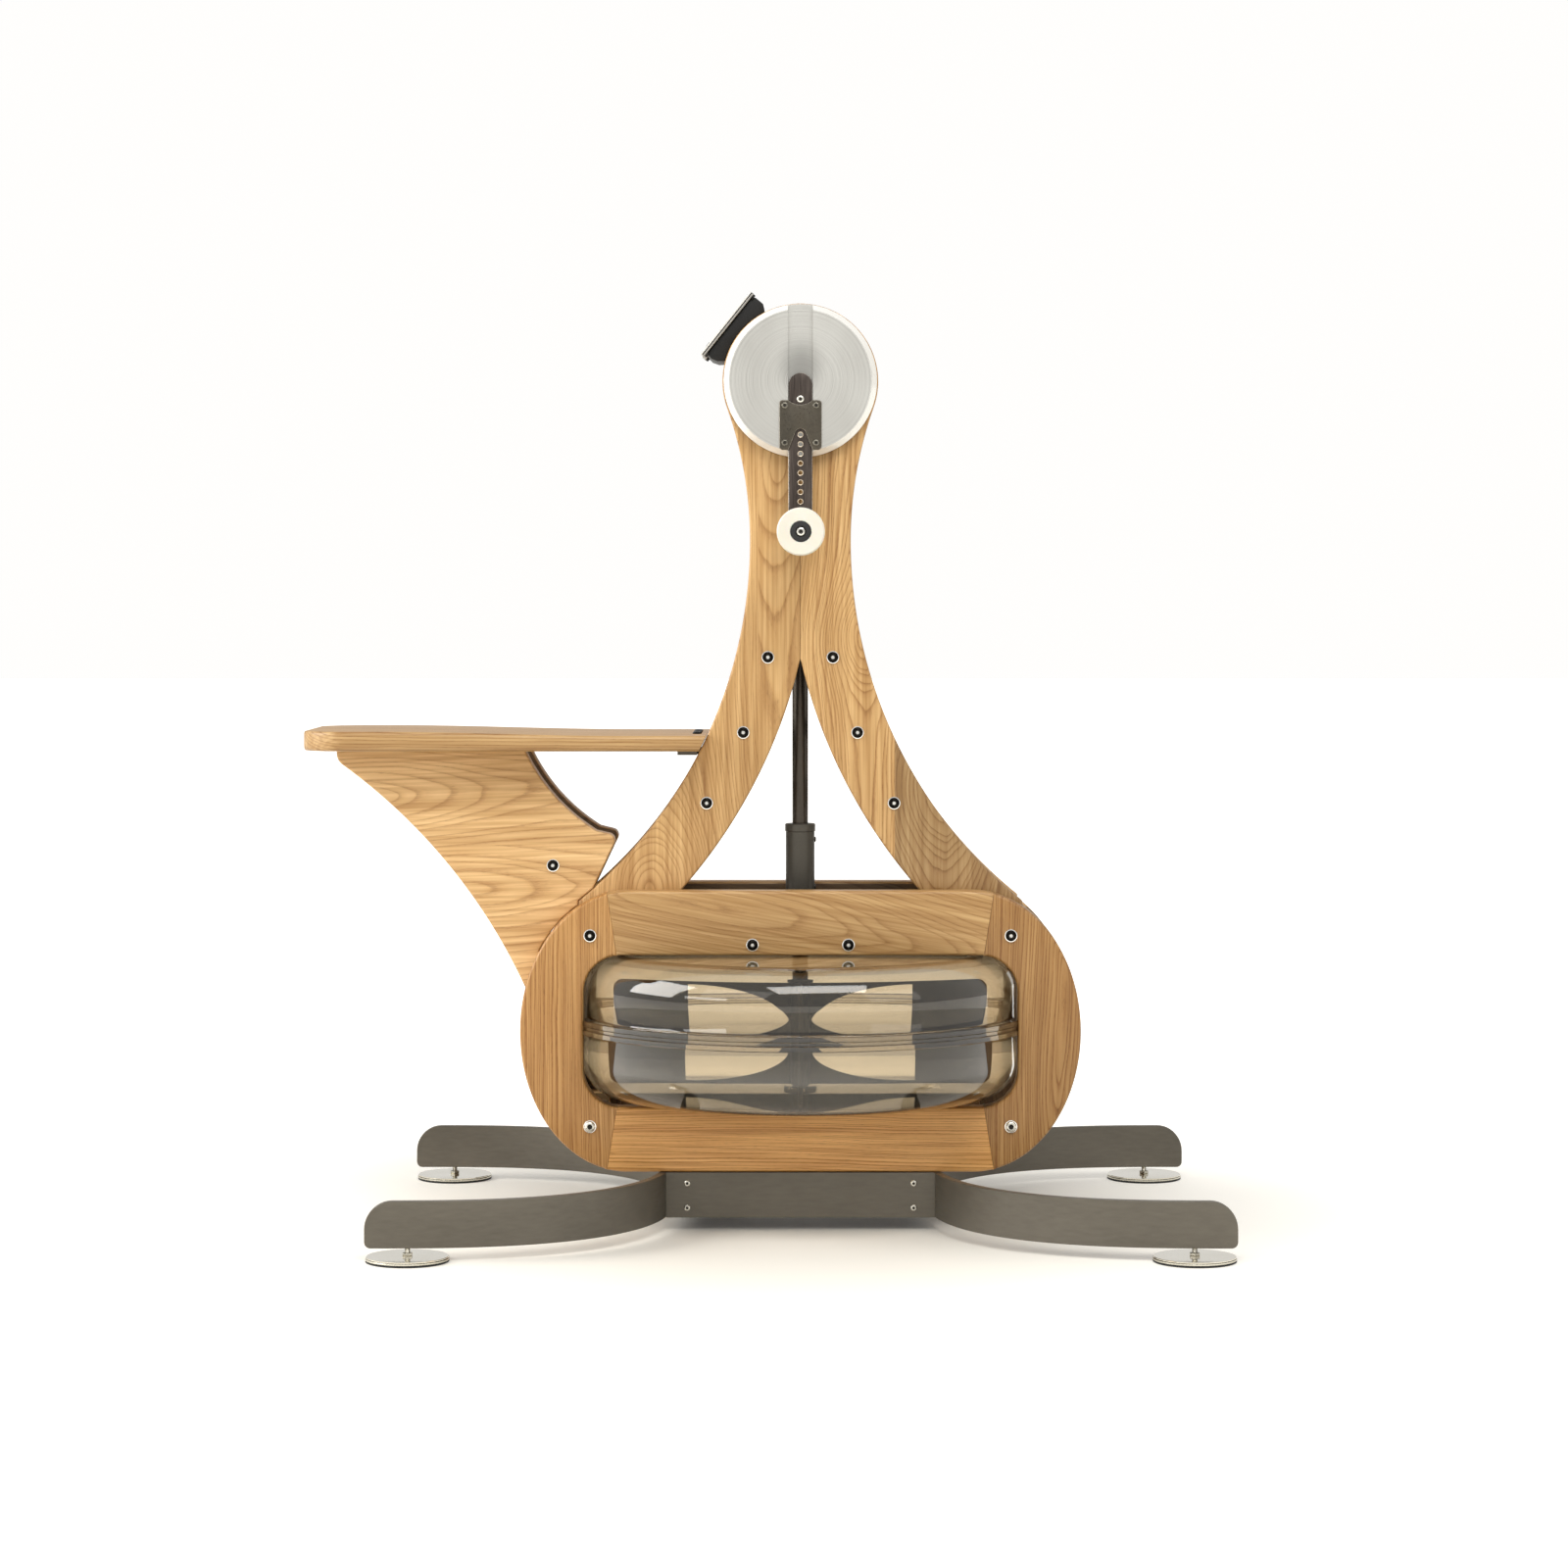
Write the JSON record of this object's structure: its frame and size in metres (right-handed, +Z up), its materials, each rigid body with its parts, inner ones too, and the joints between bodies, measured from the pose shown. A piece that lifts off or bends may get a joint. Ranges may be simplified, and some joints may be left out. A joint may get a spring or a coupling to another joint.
{
  "type": "upper body ergometer",
  "caption": "Wooden seated arm ergometer: hand cranks on an A-frame drive a bladed paddle in a round water tank, with a bench seat and a steel base.",
  "frame": {"origin": "middle of the object's footprint on the floor", "axes": "+Z up; +X along the length, away from the seat; +Y across, away from the front crank, so the picture looks along +Y"},
  "size_m": [1.0398, 0.698, 1.0702],
  "materials": {
    "base_steel": "satin grey-bronze coat",
    "foot_steel": "plain bright steel",
    "ring_wood": "oiled ash, open grain",
    "frame_wood": "oiled ash, open grain",
    "bolt_steel": "dark burnished",
    "seat_wood": "oiled ash, open grain",
    "bracket_steel": "dark satin coat",
    "tank_plastic": "smoky clear",
    "gasket_rubber": "matt",
    "water": "clear",
    "carrier_wood": "oiled ash, open grain",
    "paddle_metal": "dark satin",
    "shaft_steel": "dark burnished",
    "sleeve_steel": "satin dark grey coat",
    "gear_steel": "machined",
    "bearing_steel": "ground",
    "head_wood": "oiled ash, open grain",
    "disc_aluminium": "fine brushed with a bright bevel",
    "arm_steel": "dark brushed",
    "clamp_steel": "satin grey-bronze coat",
    "grip_plastic": "smooth satin",
    "monitor_case": "fine texture",
    "monitor_screen": "dark glossy front",
    "button_plastic": "satin"
  },
  "bodies": {
    "frame": {"base_bow_left": "base_steel", "base_bow_right": "base_steel", "base_beam_front": "base_steel", "base_beam_rear": "base_steel", "ring_front_left_end": "ring_wood", "ring_front_right_end": "ring_wood", "ring_front_top_rail": "ring_wood", "ring_front_bottom_rail": "ring_wood", "ring_rear_left_end": "ring_wood", "ring_rear_right_end": "ring_wood", "ring_rear_top_rail": "ring_wood", "ring_rear_bottom_rail": "ring_wood", "frame_front_left": "frame_wood", "frame_front_right": "frame_wood", "frame_rear_left": "frame_wood", "frame_rear_right": "frame_wood", "frame_bolt_crotch_left": "bolt_steel", "frame_bolt_crotch_right": "bolt_steel", "frame_bolt_upper_left": "bolt_steel", "frame_bolt_upper_right": "bolt_steel", "frame_bolt_lower_left": "bolt_steel", "frame_bolt_lower_right": "bolt_steel", "seat_support_bolt": "bolt_steel", "seat_board": "seat_wood", "seat_support_front": "seat_wood", "seat_support_rear": "seat_wood", "seat_bracket": "bracket_steel", "tank_upper_shell": "tank_plastic", "tank_lower_shell": "tank_plastic", "tank_gasket": "gasket_rubber", "water": "water", "tank_deck": "carrier_wood", "shaft_bridge": "carrier_wood", "shaft_bearing_block": "carrier_wood", "crank_bearing_front": "bearing_steel", "crank_bearing_rear": "bearing_steel", "head_band": "head_wood", "monitor_body": "monitor_case", "monitor_screen": "monitor_screen"},
    "crank": {"crank_shaft": "shaft_steel", "crank_disc_front": "disc_aluminium", "crank_disc_rear": "disc_aluminium", "clamp_plate_front": "clamp_steel", "clamp_plate_rear": "clamp_steel", "bevel_gear": "gear_steel"},
    "drivetrain": {"drive_shaft": "shaft_steel", "coupling_sleeve": "sleeve_steel", "paddle": "paddle_metal", "bevel_pinion": "gear_steel"},
    "arm_front": {"crank_arm_front": "arm_steel"},
    "arm_rear": {"crank_arm_rear": "arm_steel"},
    "grip_front": {"grip_front": "grip_plastic"},
    "grip_rear": {"grip_rear": "grip_plastic"},
    "foot_front_left": {"foot_front_left": "foot_steel"},
    "foot_front_right": {"foot_front_right": "foot_steel"},
    "foot_rear_left": {"foot_rear_left": "foot_steel"},
    "foot_rear_right": {"foot_rear_right": "foot_steel"},
    "button_left": {"button_left": "button_plastic"},
    "button_middle": {"button_middle": "button_plastic"},
    "button_right": {"button_right": "button_plastic"}
  },
  "joints": [
    {"name": "crank_spin", "type": "hinge", "parent": "frame", "child": "crank", "pos_m": [0.0474, 0, 0.9655], "axis": [0, 1, 0], "continuous": true},
    {"name": "drive_spin", "type": "hinge", "parent": "frame", "child": "drivetrain", "pos_m": [0.0474, 0, 0.5], "axis": [0, 0, 1], "continuous": true},
    {"name": "arm_front_reach", "type": "slide", "parent": "crank", "child": "arm_front", "axis": [0, 0, 1], "range_m": [0, 0.0762]},
    {"name": "arm_rear_reach", "type": "slide", "parent": "crank", "child": "arm_rear", "axis": [0, 0, 1], "range_m": [0, 0.0762]},
    {"name": "grip_front_spin", "type": "hinge", "parent": "arm_front", "child": "grip_front", "pos_m": [0.0474, -0.147, 0.7914], "axis": [0, 1, 0], "continuous": true},
    {"name": "grip_rear_spin", "type": "hinge", "parent": "arm_rear", "child": "grip_rear", "pos_m": [0.0474, 0.147, 0.7914], "axis": [0, 1, 0], "continuous": true},
    {"name": "foot_front_left_screw", "type": "hinge", "parent": "frame", "child": "foot_front_left", "pos_m": [-0.3786, -0.3035, 0.02], "axis": [0, 0, 1], "range_deg": [-360, 360]},
    {"name": "foot_front_right_screw", "type": "hinge", "parent": "frame", "child": "foot_front_right", "pos_m": [0.4734, -0.3035, 0.02], "axis": [0, 0, 1], "range_deg": [-360, 360]},
    {"name": "foot_rear_left_screw", "type": "hinge", "parent": "frame", "child": "foot_rear_left", "pos_m": [-0.3786, 0.3035, 0.02], "axis": [0, 0, 1], "range_deg": [-360, 360]},
    {"name": "foot_rear_right_screw", "type": "hinge", "parent": "frame", "child": "foot_rear_right", "pos_m": [0.4734, 0.3035, 0.02], "axis": [0, 0, 1], "range_deg": [-360, 360]},
    {"name": "button_left_press", "type": "slide", "parent": "frame", "child": "button_left", "axis": [0.7813, 0, -0.6242], "range_m": [0, 0.001], "stiffness_N_per_m": 200},
    {"name": "button_middle_press", "type": "slide", "parent": "frame", "child": "button_middle", "axis": [0.7813, 0, -0.6242], "range_m": [0, 0.001], "stiffness_N_per_m": 200},
    {"name": "button_right_press", "type": "slide", "parent": "frame", "child": "button_right", "axis": [0.7813, 0, -0.6242], "range_m": [0, 0.001], "stiffness_N_per_m": 200}
  ],
  "couplings": [
    {"joint": "drive_spin", "follows": "crank_spin", "ratio": 2}
  ]
}
